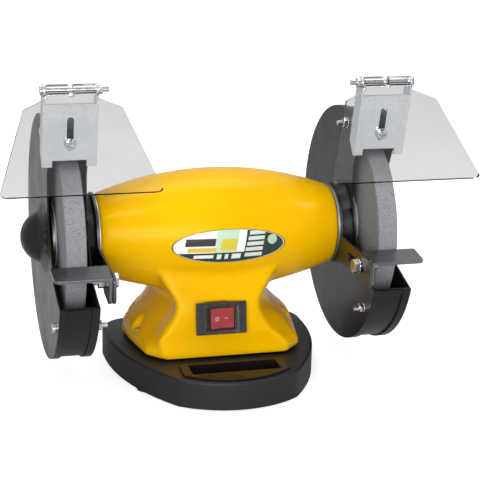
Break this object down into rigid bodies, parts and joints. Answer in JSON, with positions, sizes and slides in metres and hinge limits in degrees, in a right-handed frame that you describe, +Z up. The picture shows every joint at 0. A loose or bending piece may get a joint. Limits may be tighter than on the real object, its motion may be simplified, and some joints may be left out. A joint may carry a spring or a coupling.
{
  "type": "bench grinder",
  "caption": "Twin-wheel bench grinder: bulged motor barrel on a pedestal base, round guards, tilting clear eye shields, adjustable tool rests, rocker switch and a water tray.",
  "frame": {"origin": "centre of the four bench screw holes, in the plane of the rubber feet, under the middle of the shaft", "axes": "+X along the shaft to the right seen from the front, -Y towards the user, +Z up"},
  "size_m": [0.3598, 0.2058, 0.2461],
  "materials": {
    "yellow_paint": "glossy warm yellow enamel on cast aluminium",
    "guard_paint": "satin black paint on pressed steel",
    "base_plastic": "charcoal moulded plastic with a fine grain",
    "abrasive": "grey bonded abrasive, rough and matte",
    "zinc": "bright zinc plate with a bluish cast",
    "rest_steel": "zinc-plated steel with a brushed top",
    "dark_steel": "plain machined steel",
    "bearing_steel": "ground bearing steel",
    "lamination": "varnished laminations",
    "copper": "enamelled copper wire, lacquered",
    "clear": "clear polycarbonate, slightly grey",
    "switch_cover": "clear soft switch cover",
    "rocker_red": "glossy red plastic",
    "black_plastic": "black moulded plastic, slightly glossy",
    "tray_plastic": "dark glossy moulded plastic",
    "rubber": "black rubber",
    "badge": "dark oval plate with a silver rim",
    "paper": "soft blotting paper",
    "aluminium": "die-cast and turned",
    "capacitor_can": "drawn can"
  },
  "bodies": {
    "stand": {"base_shell": "base_plastic", "base_bottom_plate": "zinc", "rubber_feet": "rubber", "base_plate_screws": "zinc", "housing_screws": "zinc", "motor_housing": "yellow_paint", "badge_plate": "badge", "switch_bezel": "black_plastic", "switch_body": "black_plastic", "switch_cover": "switch_cover", "cable_gland": "black_plastic", "capacitor": "capacitor_can", "stator_core": "lamination", "stator_windings": "copper", "guard_mount_screws": "zinc", "bearing_balls": "bearing_steel", "left_bearing_outer_ring": "bearing_steel", "right_bearing_outer_ring": "bearing_steel", "left_end_shield": "aluminium", "right_end_shield": "aluminium", "left_rest_arm": "zinc", "right_rest_arm": "zinc", "left_guard_inner": "guard_paint", "right_guard_inner": "guard_paint", "left_guard_band": "guard_paint", "right_guard_band": "guard_paint", "left_guard_cover": "guard_paint", "right_guard_cover": "guard_paint", "left_guard_screws": "zinc", "right_guard_screws": "zinc", "left_bracket_screw": "zinc", "right_bracket_screw": "zinc"},
    "spindle_set": {"spindle": "dark_steel", "rotor_core": "lamination", "spindle_nuts": "zinc", "left_bearing_inner_ring": "bearing_steel", "right_bearing_inner_ring": "bearing_steel", "left_grinding_wheel": "abrasive", "right_grinding_wheel": "abrasive", "left_wheel_bush": "black_plastic", "right_wheel_bush": "black_plastic", "left_wheel_blotters": "paper", "right_wheel_blotters": "paper", "left_inner_flange": "dark_steel", "right_inner_flange": "dark_steel", "left_outer_flange": "dark_steel", "right_outer_flange": "dark_steel"},
    "switch_rocker": {"switch_rocker": "rocker_red"},
    "water_tray": {"water_tray": "tray_plastic"},
    "left_bracket": {"left_spark_bracket": "zinc", "left_hinge_bolt": "zinc"},
    "left_shield": {"left_eye_shield": "clear"},
    "left_rest_clamp": {"left_rest_bolt": "zinc"},
    "left_rest": {"left_tool_rest": "rest_steel"},
    "right_bracket": {"right_spark_bracket": "zinc", "right_hinge_bolt": "zinc"},
    "right_shield": {"right_eye_shield": "clear"},
    "right_rest_clamp": {"right_rest_bolt": "zinc"},
    "right_rest": {"right_tool_rest": "rest_steel"}
  },
  "joints": [
    {"name": "spindle_spin", "type": "hinge", "parent": "stand", "child": "spindle_set", "pos_m": [0, 0, 0.116], "axis": [1, 0, 0], "continuous": true},
    {"name": "switch_rocker_press", "type": "hinge", "parent": "stand", "child": "switch_rocker", "pos_m": [-0.006, -0.05202, 0.05815], "axis": [0, 0.1392, 0.9903], "range_deg": [-14, 0]},
    {"name": "tray_lift", "type": "slide", "parent": "stand", "child": "water_tray", "axis": [0, 0, 1], "range_m": [0, 0.035]},
    {"name": "left_bracket_slide", "type": "slide", "parent": "stand", "child": "left_bracket", "axis": [0, -0.2419, 0.9703], "range_m": [-0.005, 0.0035]},
    {"name": "left_shield_tilt", "type": "hinge", "parent": "left_bracket", "child": "left_shield", "pos_m": [-0.122, -0.05195, 0.24147], "axis": [-1, 0, 0], "range_deg": [-6, 95]},
    {"name": "left_rest_slide", "type": "slide", "parent": "stand", "child": "left_rest_clamp", "axis": [0, -1, 0], "range_m": [-0.002, 0.006]},
    {"name": "left_rest_tilt", "type": "hinge", "parent": "left_rest_clamp", "child": "left_rest", "pos_m": [-0.1009, -0.08, 0.103], "axis": [1, 0, 0], "range_deg": [-4, 20]},
    {"name": "right_bracket_slide", "type": "slide", "parent": "stand", "child": "right_bracket", "axis": [0, -0.2419, 0.9703], "range_m": [-0.005, 0.0035]},
    {"name": "right_shield_tilt", "type": "hinge", "parent": "right_bracket", "child": "right_shield", "pos_m": [0.122, -0.05195, 0.24147], "axis": [-1, 0, 0], "range_deg": [-6, 95]},
    {"name": "right_rest_slide", "type": "slide", "parent": "stand", "child": "right_rest_clamp", "axis": [0, -1, 0], "range_m": [-0.002, 0.006]},
    {"name": "right_rest_tilt", "type": "hinge", "parent": "right_rest_clamp", "child": "right_rest", "pos_m": [0.1009, -0.08, 0.103], "axis": [1, 0, 0], "range_deg": [-4, 20]}
  ]
}
